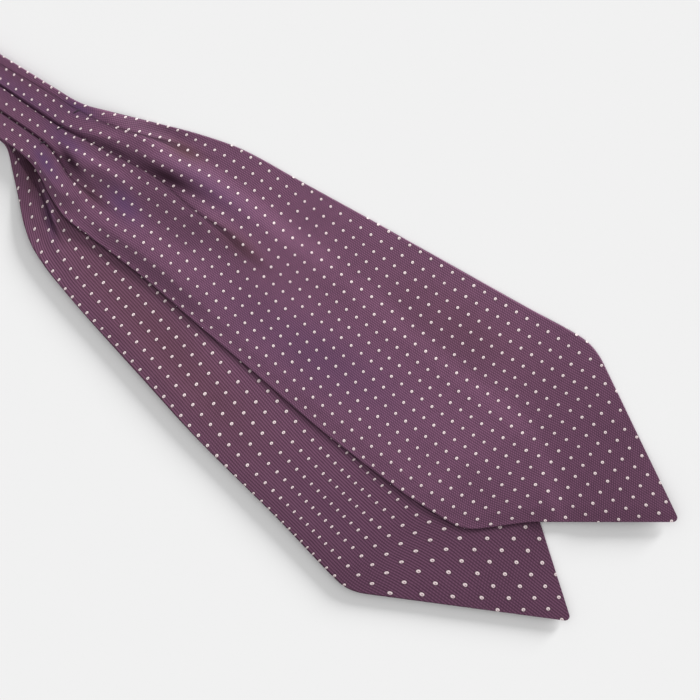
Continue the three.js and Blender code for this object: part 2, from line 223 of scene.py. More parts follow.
# Knife pleats, the one next to the near edge first. edge is where the upper half's fold lies and
# lap how far it covers the cloth beside it.
UPPER_PLEATS = (
    (
        Pleat(-60, -9.0, 7.2, FOLDED),
        Pleat(-8, -10.0, 7.2, FOLDED),
        Pleat(4, -11.6, 6.8, FOLDED),
        Pleat(13, -14.8, 5.4, FOLDED),
        Pleat(26, -20.5, 2.6, FOLDED),
        Pleat(36, -22.0, 1.5, 150),
        Pleat(50, -22.8, 1.5, 65),
        Pleat(70, -23.6, 1.5, 25),
        Pleat(100, -25.0, 1.5, 0),
    ),
    (
        Pleat(-60, 5.7, 7.2, FOLDED),
        Pleat(0, 4.2, 7.2, FOLDED),
        Pleat(22, 6.4, 7.0, FOLDED),
        Pleat(45, 8.5, 6.4, FOLDED),
        Pleat(69, 10.6, 5.2, FOLDED),
        Pleat(84, 9.8, 4.2, FOLDED),
        Pleat(100, 7.2, 2.6, FOLDED),
        Pleat(115, 5.9, 1.5, 150),
        Pleat(134, 5.4, 1.5, 75),
        Pleat(150, 2.4, 1.5, 42),
        Pleat(172, -1.0, 1.5, 20),
        Pleat(215, -5.0, 1.5, 0),
    ),
    (
        Pleat(-60, 17.5, 7.0, FOLDED),
        Pleat(-24, 19.4, 7.0, FOLDED),
        Pleat(0, 20.0, 7.0, FOLDED),
        Pleat(20, 21.8, 5.0, FOLDED),
        Pleat(40, 26.5, 2.8, FOLDED),
        Pleat(54, 31.0, 1.5, 150),
        Pleat(70, 35.4, 1.5, 75),
        Pleat(88, 39.0, 1.5, 30),
        Pleat(120, 43.0, 1.5, 0),
    ),
)
UNDER_PLEATS = (
    (
        Pleat(-60, -17.5, 8.5, FOLDED),
        Pleat(-10, -19.0, 8.5, FOLDED),
        Pleat(10, -24.3, 7.0, FOLDED),
        Pleat(25, -27.6, 4.8, FOLDED),
        Pleat(40, -32.0, 2.6, FOLDED),
        Pleat(52, -38.0, 1.5, 150),
        Pleat(65, -45.4, 1.5, 75),
        Pleat(82, -51.0, 1.5, 30),
        Pleat(115, -54.0, 1.5, 0),
    ),
    (
        Pleat(-60, -3.3, 9.0, FOLDED),
        Pleat(0, -3.6, 8.4, FOLDED),
        Pleat(30, -5.0, 6.0, FOLDED),
        Pleat(57, -8.4, 3.5, FOLDED),
        Pleat(80, -12.0, 1.5, 150),
        Pleat(97, -14.0, 1.5, 75),
        Pleat(115, -15.5, 1.5, 30),
        Pleat(145, -16.0, 1.5, 0),
    ),
    (
        Pleat(-60, 10.5, 7.0, FOLDED),
        Pleat(0, 10.5, 6.6, FOLDED),
        Pleat(30, 11.5, 4.0, FOLDED),
        Pleat(50, 12.6, 1.8, FOLDED),
        Pleat(66, 13.4, 1.5, 110),
        Pleat(82, 14.2, 1.5, 45),
        Pleat(110, 15.0, 1.5, 0),
    ),
)

# Soft ridges (height above 0) and troughs (below 0) over the laid cloth, listed from the tacks
# outwards. lean turns the steeper side: above 0 towards +y.
UPPER_CREASES = (
    Crease(14, -6, 62, -3, 6.0, 1.3, 0.5),
    Crease(20, 13, 96, 24, 7.0, 1.4, 0.6),
    Crease(70, 12, 170, 3, 9.0, 1.7, 0.7),
    Crease(118, 20, 210, 20, 13.0, 0.9, 0.3),
    Crease(30, 30, 110, 44, 8.0, 0.25, 0.4),
    Crease(150, -12, 290, -22, 15.0, 0.8, 0.0),
    Crease(60, -30, 175, -38, 11.0, 0.8, -0.2),
    Crease(235, 35, 345, 45, 18.0, 0.7, 0.0),
    Crease(300, -38, 410, -26, 19.0, 0.6, 0.0),
)
UNDER_CREASES = (
    Crease(24, -36, 92, -57, 5.0, 0.7, -0.4),
    Crease(100, -60, 240, -68, 8.0, 0.6, 0.0),
    Crease(250, -70, 360, -74, 10.0, 0.5, 0.0),
)

# Turns per millimetre along and across the cloth, and the height in millimetres
UPPER_WAVE = Wave(0.021, 0.034, 1.7, 0.5)
UPPER_RIPPLE = Wave(0.05, 0.075, 9.2, 0.12)
UNDER_WAVE = Wave(0.019, 0.04, 5.1, 0.35)

# Short hand stitches over the folds where the neckband ends: the middle, the way each one runs
# in degrees from x, and its length
PLEAT_TACKS = (
    Tack(5.7, 19.8, 7.6, 62, 4.6),
    Tack(2.5, 4.4, 7.7, 58, 4.2),
    Tack(-2.0, -10.2, 7.8, 40, 2.6),
)
TACK_RISE = 0.45
TACK_SIDES = 10
TACK_STEPS = 12

# Patches painted on the silk. Violet and brown are painted shot-silk sheen: violet where the warp
# shines, brown where the weft shows through. Deep plum is painted shade in the hollows beside the
# pleats. x and y are the middle, along and across half-sizes, and slope the patch's own turn.
UPPER_PAINTED_VIOLET_SHEEN = (
    Tint(6, 22, 12, 4, 0.1, 0.9),
    Tint(9, 0, 16, 5, -0.1, 0.9),
    Tint(6, -20, 12, 5, -0.4, 1.0),
    Tint(66, -15, 14, 8, -0.2, 0.9),
    Tint(-40, 9, 50, 4, 0.0, 0.45),
    Tint(110, 24, 30, 8, 0.0, 0.4),
    Tint(230, -30, 60, 20, 0.0, 0.35),
)
UPPER_PAINTED_BROWN_SHEEN = (
    Tint(80, 37, 14, 5, 0.1, 1.0),
    Tint(146, 4, 19, 6, -0.1, 0.7),
    Tint(300, 40, 60, 22, 0.0, 0.3),
    Tint(44, -22, 10, 4, -0.1, 0.5),
)
# Painted shade in the hollows beside the upper blade's pleats
UPPER_PAINTED_HOLLOW_SHADE = (
    Tint(82, 16, 28, 6.0, 0.08, 1.0),
    Tint(44, 12, 20, 2.6, 0.1, 0.6),
    Tint(20, -10, 11, 3.4, -0.3, 1.0),
    Tint(42, -18, 14, 3.0, -0.2, 0.35),
    Tint(56, 39, 26, 5.0, 0.35, 0.38),
)
UNDER_PAINTED_VIOLET_SHEEN = (
    Tint(52, -38, 14, 4, -0.7, 0.9),
    Tint(300, -60, 60, 16, 0.0, 0.15),
)
UNDER_PAINTED_BROWN_SHEEN = (
    Tint(170, -50, 130, 26, -0.1, 0.6),
    Tint(20, -22, 16, 8, -0.8, 0.7),
)
# Painted shade in the hollows beside the under blade's pleats
UNDER_PAINTED_HOLLOW_SHADE = (
    Tint(100, -33, 40, 4.0, 0.17, 0.3),
    Tint(18, -20, 16, 5.0, -0.8, 0.6),
)

# The dots' spacing in millimetres along and across the blade, how far their rows turn towards
# the near edge for each millimetre along, and how far their columns lean for each one across
UPPER_REPEAT = (
    Repeat(-165, 6.2, 7.1, 0.0, 0.0),
    Repeat(0, 6.3, 7.4, 0.0, 0.0),
    Repeat(15, 6.0, 7.9, -0.3, 0.02),
    Repeat(30, 6.4, 8.4, 0.03, 0.04),
    Repeat(60, 6.6, 8.8, 0.05, 0.07),
    Repeat(90, 7.4, 8.6, 0.06, 0.07),
    Repeat(180, 8.1, 8.1, 0.06, 0.06),
    Repeat(260, 8.5, 8.8, 0.06, 0.06),
    Repeat(350, 8.5, 9.5, 0.05, 0.05),
    Repeat(425, 9.7, 8.9, 0.01, 0.02),
    Repeat(465, 10.1, 8.9, 0.0, 0.0),
)
UNDER_REPEAT = (
    Repeat(-165, 6.2, 7.1, 0.0, 0.0),
    Repeat(0, 6.6, 8.6, 0.0, 0.0),
    Repeat(60, 7.2, 10.6, 0.05, 0.05),
    Repeat(160, 7.7, 10.9, 0.09, 0.09),
    Repeat(260, 9.3, 10.9, 0.09, 0.09),
    Repeat(290, 7.6, 10.6, 0.06, 0.1),
    Repeat(320, 6.4, 10.6, 0.03, 0.12),
    Repeat(350, 7.2, 11.0, 0.0, 0.17),
    Repeat(375, 9.5, 11.2, 0.0, 0.18),
    Repeat(400, 12.0, 11.4, -0.02, 0.14),
    Repeat(440, 13.0, 11.0, -0.02, 0.03),
    Repeat(480, 11.5, 10.6, -0.02, 0.0),
)
REPEAT_BEFORE = 10                 # how far it is summed up past the tables' two ends
REPEAT_BEYOND = 40

# Colours that the panel doesn't set
# Painted shot-silk sheen, violet and brown
PAINTED_SHEEN_VIOLET = "#533760"
PAINTED_SHEEN_BROWN = "#4f2f2f"
# Painted shade in the hollows, along the fold lines and where one blade goes under the other
PAINTED_SHADE_PLUM = "#2a1a24"
DOT_RIM = "#3a222e"
DOT_FLECK = "#8a5f70"
# The dots darken towards this in the painted shade
DOT_IN_PAINTED_SHADE = "#3c2630"
SHEEN_PINK = "#e2b6d6"

RIBS_TO_A_DOT = 6
RIB_RELIEF = 0.22
SILK_GLOSS = 0.32
SILK_SHEEN = 0.16


def ease(t):
    c = min(max(t, 0.0), 1.0)
    return c * c * (3 - 2 * c)


def ramp(value, low, high):
    """Eases from 0 at low to 1 at high."""
    return ease((value - low) / (high - low))


def lerp(a, b, t):
    return a + (b - a) * t


def curve_through(places, values, at):
    """Smooth curve through values at rising places, level beyond the first and the last."""
    last = len(places) - 1
    if at <= places[0]:
        return values[0]
    if at >= places[last]:
        return values[last]
    i = 0
    while at > places[i + 1]:
        i += 1

    def slope_between(a, b):
        return (values[b] - values[a]) / (places[b] - places[a])

    step = places[i + 1] - places[i]
    t = (at - places[i]) / step
    slope_here = slope_between(i - 1, i + 1) if i > 0 else 0.0
    slope_next = slope_between(i, i + 2) if i + 1 < last else 0.0
    rise = values[i + 1] - values[i]
    bend = (1 - t) * slope_here * step - t * slope_next * step + (2 * t - 1) * rise
    return values[i] + t * rise + t * (1 - t) * bend


def read_column(table, column, at):
    return curve_through([row.at for row in table], [getattr(row, column) for row in table], at)


def soft_lesser(a, b, rounding):
    closeness = max(rounding - abs(a - b), 0.0) / rounding
    return min(a, b) - closeness * closeness * rounding / 4


def blade_edges(sides, point, at):
    left = point.at - at
    far = soft_lesser(read_column(sides, "far", at), point.y + left * point.far_slope,
                      CORNER_ROUNDING)
    bulge = point.near_bulge * ramp(left, *BULGE)
    near = -soft_lesser(-read_column(sides, "near", at),
                        left * point.near_slope - point.y + bulge, CORNER_ROUNDING)
    return near, far


def nose_rows(sides, point):
    """Rows that round off the point, each a circle's chord: (at, near, far)."""
    half_angle = math.atan((point.near_slope + point.far_slope) / 2)
    centre = point.at - POINT_RADIUS / math.sin(half_angle)
    start = centre + POINT_RADIUS * math.sin(half_angle)
    end = centre + POINT_RADIUS
    middle = sum(blade_edges(sides, point, start)) / 2
    rows = []
    for step in NOSE_STEPS:
        at = lerp(start, end, step)
        half = math.sqrt(POINT_RADIUS ** 2 - (at - centre) ** 2)
        rows.append((at, middle - half, middle + half))
    return rows


def pleat_line(edge, lap, turn, down):
    """One pleat as (y, z) places: a bend, a return and a bend back, dropping as y grows."""
    angle = max(math.radians(turn), LEAST_TURN)
    radius = BEND_LENGTH / angle
    opened = max(0.0, 1 - turn / 90)
    back = max(lap - LAYER_PITCH, SHORTEST_RETURN) + SOFT_RETURN * opened
    width = 2 * radius * math.sin(angle) + back * math.cos(angle)
    start_y = edge - radius if turn >= 90 else edge - width / 2
    line = []
    for i in range(BEND_STEPS + 1):
        a = angle * i / BEND_STEPS
        line.append((start_y + radius * math.sin(a), -down * radius * (1 - math.cos(a))))
    turn_y, turn_z = line[BEND_STEPS]
    back_y = turn_y + back * math.cos(angle)
    back_z = turn_z - down * back * math.sin(angle)
    for i in range(BEND_STEPS + 1):
        a = angle * (1 - i / BEND_STEPS)
        line.append((
            back_y + radius * (math.sin(angle) - math.sin(a)),
            back_z - down * radius * (math.cos(a) - math.cos(angle)),
        ))
    return line


def fold_across(table, at, turned_over):
    """One pleat's fold as it crosses a row."""
    turn = min(read_column(table, "turn", at), FOLDED)
    edge = read_column(table, "edge", at)
    lap = read_column(table, "lap", at)
    if turned_over:
        edge += lap * turn / FOLDED
    depth = ramp(turn, *FLAT_BETWEEN)
    line = [(y, z * depth) for y, z in pleat_line(edge, lap, turn, -1 if turned_over else 1)]
    rise = abs(line[-1][1])
    if not turned_over:
        line = [(y, z + rise) for y, z in line]
    ys = [y for y, _ in line]
    return Fold(line, rise, min(ys), max(ys), edge, ease(turn / FOLD_LINE_TURN),
                1 - ease(turn / SLACK_FROM))


def cloth_line(sides, at, tables, turned_over):
    """Middle line of the cloth across one row, from the near edge to the far edge, and how much
    of a fold's dark line of painted shade lies on each of its places."""
    near = read_column(sides, "near", at)
    far = read_column(sides, "far", at)
    flat_edge = 1 - ramp(at, *EDGE_DROP)
    pressed = lerp(PRESSED_BAND, 1.0, ramp(at, *PRESSED_TO))
    folds = [fold_across(table, at, turned_over) for table in tables]

    # The upper half's folds lie over the strip after them, and the turned half's over the one
    # before, so that is the side of a fold where its dark line of painted shade is drawn
    over_next = 0.0 if turned_over else FOLD_SHADE
    over_last = FOLD_SHADE if turned_over else 0.0
    gap_after = 0.0 if turned_over else FOLD_CLEARANCE
    gap_before = FOLD_CLEARANCE if turned_over else 0.0
    points = [(near, 0.0 if turned_over else folds[0].rise * flat_edge)]
    painted_fold_lines = [0.0]

    def strip(start, end, flat_to, slope_to, before=None, after=None):
        low = max(flat_to, start[0] + LEAST_STEP)
        high = max(min(slope_to, end[0] - LEAST_STEP), low + LEAST_STEP)
        for i in range(STRIP_STEPS):
            t = i / (STRIP_STEPS - 1)
            y = lerp(low, high, t)
            points.append((y, lerp(start[1], end[1], ease(t * pressed))))
            dark = 0.0
            if before and y - before.most > -1:
                past = y - before.most
                dark = before.strength * over_next * math.exp(-(past / FOLD_LINE) ** 2)
            if after:
                short = max(after.least - y, 0.0)
                line_in = after.strength * over_last * math.exp(-(short / FOLD_LINE) ** 2)
                dark = max(dark, line_in)
            painted_fold_lines.append(dark)

    def fold_start(fold):
        return fold.line[0][0], 0.0 if turned_over else fold.rise

    strip(points[0], fold_start(folds[0]), near + EDGE_MARGIN, folds[0].least, after=folds[0])
    for fold, after in zip(folds, (*folds[1:], None)):
        points.extend(fold.line)
        rim = len(fold.line) if turned_over else FOLD_RIM
        painted_fold_lines.extend(
            fold.strength * min((k + 1) / rim, 1.0) * FOLD_SHADE for k in range(len(fold.line)))
        if after:
            strip(fold.line[-1], fold_start(after), fold.most + FOLD_CLEARANCE,
                  after.least - gap_before, fold, after)
    far_edge = (far, folds[-1].rise * flat_edge if turned_over else 0.0)
    strip(folds[-1].line[-1], far_edge, folds[-1].most + gap_after, far - EDGE_MARGIN, folds[-1])
    points.append(far_edge)
    painted_fold_lines.append(0.0)
    return soften(points, folds), painted_fold_lines


def soften(points, folds):
    """Lets the step of an opening pleat sink into a soft swell, its z averaged over its sides."""
    softened = list(points)
    for fold in folds:
        if fold.slack <= 0 or fold.slack >= 1:
            continue
        for j, (y, _) in enumerate(points):
            nearness = 1 - ramp(abs(y - fold.edge), SLACK_REACH, 2 * SLACK_REACH)
            if nearness <= 0:
                continue
            weights = [math.exp(-((other - y) / SLACK_SPREAD) ** 2) for other, _ in points]
            mean = sum(w * other[1] for w, other in zip(weights, points)) / sum(weights)
            softened[j] = (y, lerp(softened[j][1], mean, fold.slack * nearness))
    return softened


def fit_between(line, sides, near, far, at):
    """Draws a row in between the blade's edges, and evens out its places towards the point."""
    near_side = read_column(sides, "near", at)
    far_side = read_column(sides, "far", at)
    evenness = ramp(at, *EVEN_OUT)
    last = len(line) - 1
    fitted = []
    for j, (y, z) in enumerate(line):
        share = (y - near_side) / (far_side - near_side)
        fitted.append((lerp(near, far, lerp(share, j / last, evenness)), z))
    return fitted


def under_axis(at):
    """Middle line of the under blade: straight along the band, then eased round by the fan."""
    def heading(s):
        return FAN_TURN * ease((s - FAN_AT + FAN_SPREAD) / (2 * FAN_SPREAD))

    x = FAN_X + min(at - FAN_AT, -FAN_SPREAD)
    y = 0.0
    s = FAN_AT - FAN_SPREAD
    straight_from = FAN_AT + FAN_SPREAD
    while s < min(at, straight_from):
        length = min(1.0, at - s)
        way = heading(s + length / 2)
        x += math.cos(way) * length
        y += math.sin(way) * length
        s += 1.0
    if at > straight_from:
        x += math.cos(FAN_TURN) * (at - straight_from)
        y += math.sin(FAN_TURN) * (at - straight_from)
    return x, y, heading(at)


def under_measure(x, y):
    """How far a place is along the under blade and across it, past the fan's turn."""
    along = FAN_AT + (x - FAN_X) * math.cos(FAN_TURN) + y * math.sin(FAN_TURN)
    across = y * math.cos(FAN_TURN) - (x - FAN_X) * math.sin(FAN_TURN)
    return along, across


def rest_height(x, y):
    """Height of the upper blade's lower face over a place, on the under blade or the surface."""
    s, across = under_measure(x, y)
    beyond = (y if s < FAN_AT else across) - blade_edges(UNDER_SIDES, UNDER_POINT, s)[1]
    height = lerp(REST_ON_PLEATS, REST_ON_CLOTH, ramp(x, *PLEATS_END))
    return height * (1 - ramp(beyond, *DROP_BEYOND))


def crease_height(creases, x, y):
    """Soft ridges and troughs laid over the flat cloth, at a place on the blade."""
    total = 0.0
    for c in creases:
        along = Vector((c.to_x - c.from_x, c.to_y - c.from_y))
        length = along.length
        along /= length
        offset = Vector((x - c.from_x, y - c.from_y))
        t = offset.dot(along) / length
        if t <= -CREASE_OUTSIDE or t >= 1 + CREASE_OUTSIDE:
            continue
        aside = offset.y * along.x - offset.x * along.y
        lean = CREASE_LEAN * c.lean
        width = c.width * (1 - lean if aside > 0 else 1 + lean)
        fade_in = ease((t + CREASE_OUTSIDE) / CREASE_IN)
        taper = fade_in * ease((1 + CREASE_OUTSIDE - t) / CREASE_OUT)
        total += c.height * taper * math.exp(-(aside / width) ** 2)
    return total


def tint_amount(tints, x, y):
    amount = 0.0
    for tint in tints:
        aside = y - tint.y - tint.slope * (x - tint.x)
        d = ((x - tint.x) / tint.along) ** 2 + (aside / tint.across) ** 2
        amount = max(amount, tint.amount * math.exp(-d))
    return amount


def linear(hex_colour):
    """sRGB hex to a linear colour."""
    value = hex_colour.lstrip("#")
    channels = [int(value[i:i + 2], 16) / 255 for i in (0, 2, 4)]
    return tuple(c / 12.92 if c <= 0.04045 else ((c + 0.055) / 1.055) ** 2.4 for c in channels)


def add_node(material, kind, settings=None, inputs=None, links=None):
    """Adds a node, sets its properties and input values, and links outputs into its inputs."""
    tree = material.node_tree
    node = tree.nodes.new(kind)
    for key, value in (settings or {}).items():
        setattr(node, key, value)
    for key, value in (inputs or {}).items():
        node.inputs[key].default_value = value
    for key, socket in (links or {}).items():
        tree.links.new(socket, node.inputs[key])
    return node


def start_material(name):
    material = bpy.data.materials.new(name)
    material.use_nodes = True
    material.node_tree.nodes.clear()
    return material


# Woven silk rep: six fine ribs to each row of dots, about 1.5 mm apart, run along the blade, and
# each dot is a float of pale weft with a dark fleck where it is tied down. Mauve warp over a plum
# weft gives fine light and dark stripes, which stand out more on one half than on the other.
# Painted shot-silk sheen and painted shade are mixed over the weave from the cloth's attributes.
def woven_silk(half, silk):
    m = start_material(half["material"])
    light, dark, dot = (tuple(c) for c in (silk.rib_light, silk.rib_dark, silk.dot_colour))
    cloth = add_node(m, "ShaderNodeUVMap", {"uv_map": "dot_grid"})
    grid = add_node(m, "ShaderNodeSeparateXYZ", links={"Vector": cloth.outputs["UV"]})
    measure = add_node(m, "ShaderNodeUVMap", {"uv_map": "measure"})
    place = add_node(m, "ShaderNodeSeparateXYZ", links={"Vector": measure.outputs["UV"]})

    def maths(operation, first, second=None, third=None, clamp=False):
        values = {}
        links = {}
        for index, value in enumerate((first, second, third)):
            if value is None:
                continue
            if isinstance(value, (int, float)):
                values[index] = value
            else:
                links[index] = value
        node = add_node(m, "ShaderNodeMath", {"operation": operation, "use_clamp": clamp},
                        values, links)
        return node.outputs[0]

    def mix(share, first, second):
        node = add_node(m, "ShaderNodeMix", {"data_type": "RGBA"})
        for index, value in ((0, share), (6, first), (7, second)):
            if isinstance(value, (int, float)):
                node.inputs[index].default_value = value
            elif isinstance(value, tuple):
                node.inputs[index].default_value = (*value[:3], 1.0)
            else:
                m.node_tree.links.new(value, node.inputs[index])
        return node.outputs[2]

    slub = add_node(m, "ShaderNodeTexNoise", {"noise_dimensions": "2D"},
                    {"Scale": 260.0, "Detail": 3.0, "Roughness": 0.6},
                    {"Vector": measure.outputs["UV"]})
    patch = add_node(m, "ShaderNodeTexNoise", {"noise_dimensions": "2D"},
                     {"Scale": 24.0, "Detail": 2.0, "Roughness": 0.5},
                     {"Vector": measure.outputs["UV"]})
    wander = maths("MULTIPLY_ADD", slub.outputs["Fac"], 1.1, -0.55)
    ribs = 2 * math.pi * RIBS_TO_A_DOT
    rib_turn = maths("MULTIPLY_ADD", grid.outputs["Y"], ribs, wander)
    rib = maths("MULTIPLY_ADD", maths("SINE", rib_turn), 0.5, 0.5)
    set_off = maths("MULTIPLY_ADD", grid.outputs["Y"], ribs / 2, wander)
    pick_turn = maths("MULTIPLY_ADD", grid.outputs["X"], ribs, set_off)
    pick = maths("MULTIPLY_ADD", maths("SINE", pick_turn), 0.5, 0.5)
    chequer = maths("MULTIPLY_ADD", patch.outputs["Fac"], 1.6, -0.55, clamp=True)
    pick_share = maths("MULTIPLY", maths("MULTIPLY", pick, rib),
                       maths("MULTIPLY_ADD", chequer, 0.45, half["picks"]))
    stripe = maths("SUBTRACT", maths("POWER", rib, 0.8), pick_share, clamp=True)
    shown = maths("MULTIPLY_ADD", stripe, half["contrast"], 0.55 * (1 - half["contrast"]))
    base = mix(shown, dark, light)
    base = mix(maths("MULTIPLY_ADD", slub.outputs["Fac"], 0.5, -0.1, clamp=True), base,
               tuple(c * 0.86 for c in light))

    # Painted shot-silk sheen: violet and brown patches stand in for the warp or the weft catching
    # the light
    violet = add_node(m, "ShaderNodeAttribute", {"attribute_name": "violet"})
    brown = add_node(m, "ShaderNodeAttribute", {"attribute_name": "brown"})
    base = mix(maths("MULTIPLY", violet.outputs["Fac"], 0.75), base, linear(PAINTED_SHEEN_VIOLET))
    base = mix(maths("MULTIPLY", brown.outputs["Fac"], 0.7), base, linear(PAINTED_SHEEN_BROWN))
    # Painted shade: deep plum in the hollows, along the folds, towards the points and under the
    # upper blade's edge
    painted_shade = add_node(m, "ShaderNodeAttribute", {"attribute_name": "shade"})
    base = mix(painted_shade.outputs["Fac"], base, linear(PAINTED_SHADE_PLUM))

    # One dot in each square of the grid, so it is drawn out or squeezed with the cloth
    def from_middle(value):
        off = maths("SUBTRACT", maths("FRACT", value), 0.5)
        return maths("MULTIPLY", off, 1 / silk.dot_share)

    dx = from_middle(grid.outputs["X"])
    dy = from_middle(grid.outputs["Y"])
    ragged = maths("MULTIPLY_ADD", slub.outputs["Fac"], 0.5, -0.25)
    reach = maths("ADD", maths("SQRT", maths("ADD", maths("MULTIPLY", dx, dx),
                                             maths("MULTIPLY", dy, dy))), ragged)
    ring = add_node(m, "ShaderNodeMapRange", {"interpolation_type": "SMOOTHSTEP"},
                    {"From Min": 1.15, "From Max": 1.75, "To Min": 0.62, "To Max": 0.0},
                    {"Value": reach})
    inside = add_node(m, "ShaderNodeMapRange", {"interpolation_type": "SMOOTHSTEP"},
                      {"From Min": 0.78, "From Max": 1.18, "To Min": 1.0, "To Max": 0.0},
                      {"Value": reach})
    fleck_x = maths("SUBTRACT", dx, 0.22)
    fleck_y = maths("ADD", dy, 0.1)
    fleck_reach = maths("SQRT", maths("ADD", maths("MULTIPLY", fleck_x, fleck_x),
                                      maths("MULTIPLY", fleck_y, fleck_y)))
    fleck = add_node(m, "ShaderNodeMapRange", {"interpolation_type": "SMOOTHSTEP"},
                     {"From Min": 0.1, "From Max": 0.6, "To Min": 0.8, "To Max": 0.0},
                     {"Value": fleck_reach})
    base = mix(ring.outputs["Result"], base, linear(DOT_RIM))
    dot_colour = mix(fleck.outputs["Result"], dot, linear(DOT_FLECK))
    # Painted shade: dots lying in the painted hollows and fold lines are dimmed
    dot_colour = mix(maths("MULTIPLY", painted_shade.outputs["Fac"], 0.5), dot_colour, linear(DOT_IN_PAINTED_SHADE))
    base = mix(inside.outputs["Result"], base, dot_colour)

    height = maths("ADD", maths("MULTIPLY", stripe, 0.6),
                   maths("MULTIPLY", inside.outputs["Result"], 0.9))
    bump = add_node(m, "ShaderNodeBump", None, {"Strength": 0.55, "Distance": RIB_RELIEF * MM},
                    {"Height": height})
    rough = maths("MULTIPLY_ADD", slub.outputs["Fac"], 0.14, 0.56)
    # Gloss and sheen fade where the shade is painted, so that it stays dark
    gloss = maths("MULTIPLY_ADD", painted_shade.outputs["Fac"], -SILK_GLOSS, SILK_GLOSS, clamp=True)
    sheen = maths("MULTIPLY_ADD", painted_shade.outputs["Fac"], -SILK_SHEEN, SILK_SHEEN, clamp=True)
    tangent = add_node(m, "ShaderNodeTangent", {"direction_type": "UV_MAP", "uv_map": "measure"})
    silk = add_node(m, "ShaderNodeBsdfPrincipled", None, {
        "Metallic": 0.0,
        "IOR": 1.46,
        "Anisotropic": 0.45,
        "Sheen Roughness": 0.42,
        "Sheen Tint": (*linear(SHEEN_PINK), 1.0),
    }, {
        "Base Color": base,
        "Roughness": rough,
        "Specular IOR Level": gloss,
        "Sheen Weight": sheen,
        "Normal": bump.outputs["Normal"],
        "Tangent": tangent.outputs["Tangent"],
    })
    add_node(m, "ShaderNodeOutputMaterial", links={"Surface": silk.outputs["BSDF"]})
    return m


# Twisted silk sewing thread: two plies wound round each other, shown by fine slanting bands of
# painted light and shade along each stitch, the same dye lit and darkened
def twisted_thread(colour):
    m = start_material("twisted_silk_thread")
    texture = add_node(m, "ShaderNodeTexCoord")
    plies = add_node(m, "ShaderNodeTexWave", {"wave_type": "BANDS", "bands_direction": "DIAGONAL"},
                     {"Scale": 900.0, "Distortion": 0.6, "Detail": 1.0},
                     {"Vector": texture.outputs["Object"]})
    shades = add_node(m, "ShaderNodeMix", {"data_type": "RGBA"},
                      {6: (*[c * 0.6 for c in colour], 1.0), 7: (*colour, 1.0)},
                      {0: plies.outputs["Fac"]})
    thread = add_node(m, "ShaderNodeBsdfPrincipled", None,
                      {"Roughness": 0.45, "Specular IOR Level": 0.4, "Sheen Weight": 0.2},
                      {"Base Color": shades.outputs[2]})
    add_node(m, "ShaderNodeOutputMaterial", links={"Surface": thread.outputs["BSDF"]})
    return m


# Painted board: matt, very faintly mottled, so it reads as a plain pale surface
def matt_board(colour):
    m = start_material("matt_painted_board")
    texture = add_node(m, "ShaderNodeTexCoord")
    mottle = add_node(m, "ShaderNodeTexNoise", None, {"Scale": 30.0, "Detail": 2.0},
                      {"Vector": texture.outputs["Object"]})
    ramp = add_node(m, "ShaderNodeMix", {"data_type": "RGBA"},
                    {6: (*[c * 0.995 for c in colour], 1.0), 7: (*colour, 1.0)},
                    {0: mottle.outputs["Fac"]})
    board = add_node(m, "ShaderNodeBsdfPrincipled", None,
                     {"Roughness": 0.9, "Specular IOR Level": 0.1},
                     {"Base Color": ramp.outputs[2]})
    add_node(m, "ShaderNodeOutputMaterial", links={"Surface": board.outputs["BSDF"]})
    return m


def upper_place(at, y, z):
    return Vector((at, y, z + rest_height(at, y)))


def under_place(at, y, z):
    x, axis_y, way = under_axis(at)
    return Vector((x - y * math.sin(way), axis_y + y * math.cos(way), z))


def lay_cloth(half):
    """Rows of places from the centre back to the point, with their cloth measures."""
    sides = half["sides"]
    nose = nose_rows(sides, half["point"])
    count = math.ceil((nose[0][0] - half["from"]) / ROW_STEP)
    stations = []
    for i in range(count):
        at = lerp(half["from"], nose[0][0], i / count)
        stations.append((at, *blade_edges(sides, half["point"], at)))
    stations.extend(nose)
    rows = []
    for at, near, far in stations:
        line, painted_fold_lines = cloth_line(sides, at, half["pleats"], half["turned_over"])
        line = fit_between(line, sides, near, far, at)
        widths = [near - read_column(sides, "near", at)]
        for here, before in zip(line[1:], line):
            step = math.hypot(here[0] - before[0], here[1] - before[1])
            widths.append(widths[-1] + step)
        middle = widths[0] + (widths[-1] - widths[0]) / 2
        row = []
        for (y, z), width, crease in zip(line, widths, painted_fold_lines):
            place = half["place"](at, y, z + WALL / 2)
            place.z += half["lift"](at, y, near, far)
            row.append(Spot(place, at, width - middle, y, crease))
        rows.append(row)
    return [*centre_back(rows[0], half["side"]), *rows]


def centre_back(first, side):
    """Rows that carry a half on round the fold at the centre back; side is 1 for the upper one."""
    axis_z = FOLD_AXIS + side * SEAM_GAP / 2
    rows = []
    for i in range(CENTRE_BACK_STEPS, 0, -1):
        angle = math.pi / 2 * i / CENTRE_BACK_STEPS
        row = []
        for spot in first:
            radius = abs(spot.place.z - axis_z)
            turned = Vector((FOLD_X - radius * math.sin(angle), spot.place.y,
                             axis_z + side * radius * math.cos(angle)))
            row.append(spot._replace(place=turned, at=spot.at - radius * angle))
        rows.append(row)
    return rows


def wave_height(wave, at, y):
    place = Vector((at * wave.along, y * wave.across, wave.seed))
    return wave.height * (0.5 + 0.5 * noise.noise(place))


def near_loft(x, y):
    """The under blade's near side stands off the surface, and the upper blade rides up on it."""
    s, across = under_measure(x, y)
    near, _ = blade_edges(UNDER_SIDES, UNDER_POINT, s)
    return LOFT_HEIGHT * (1 - ease((across - near) / LOFT_WIDTH)) * ramp(s, *LOFT_RISE)


